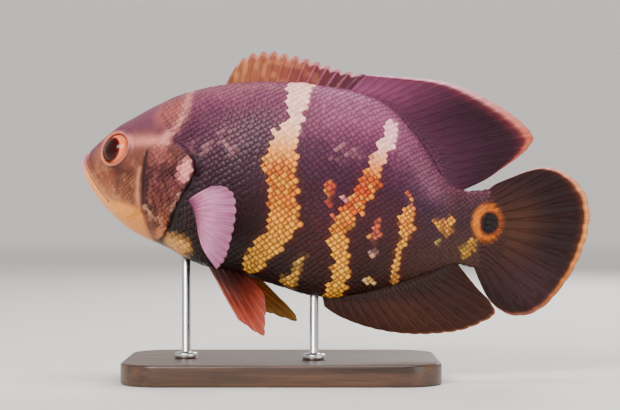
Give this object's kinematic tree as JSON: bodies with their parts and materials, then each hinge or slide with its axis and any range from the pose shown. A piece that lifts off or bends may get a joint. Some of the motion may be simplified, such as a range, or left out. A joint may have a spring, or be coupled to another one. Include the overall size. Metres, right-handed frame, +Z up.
{
  "type": "oscar fish model",
  "caption": "Life-size oscar fish model, dark plum with an orange-scaled flank and a ringed tail spot, held nose-up on two short rods over a plain base.",
  "frame": {"origin": "middle of the base's flat underside", "axes": "+X from the head towards the tail, +Y towards the fish's right side, +Z up"},
  "size_m": [0.2938, 0.1256, 0.1859],
  "materials": {
    "skin": "satin",
    "face": "satin",
    "jaw": "satin",
    "eye": "glossy",
    "fin": "satin",
    "paddle": "satin",
    "pelvic": "satin",
    "base": "satin",
    "rod": "brushed"
  },
  "bodies": {
    "root": {"head": "face", "lower_jaw": "jaw", "trunk": "skin", "tail_stalk": "skin", "gill_cover_left": "face", "gill_cover_right": "face", "eye_left": "eye", "eye_right": "eye", "pectoral_fin_left": "paddle", "pectoral_fin_right": "paddle", "pelvic_fin_left": "pelvic", "pelvic_fin_right": "pelvic", "dorsal_fin_spiny": "fin", "dorsal_fin_soft": "fin", "anal_fin": "fin", "caudal_fin": "fin", "stand_base": "base", "stand_rod_front": "rod", "stand_rod_rear": "rod"}
  },
  "joints": []
}
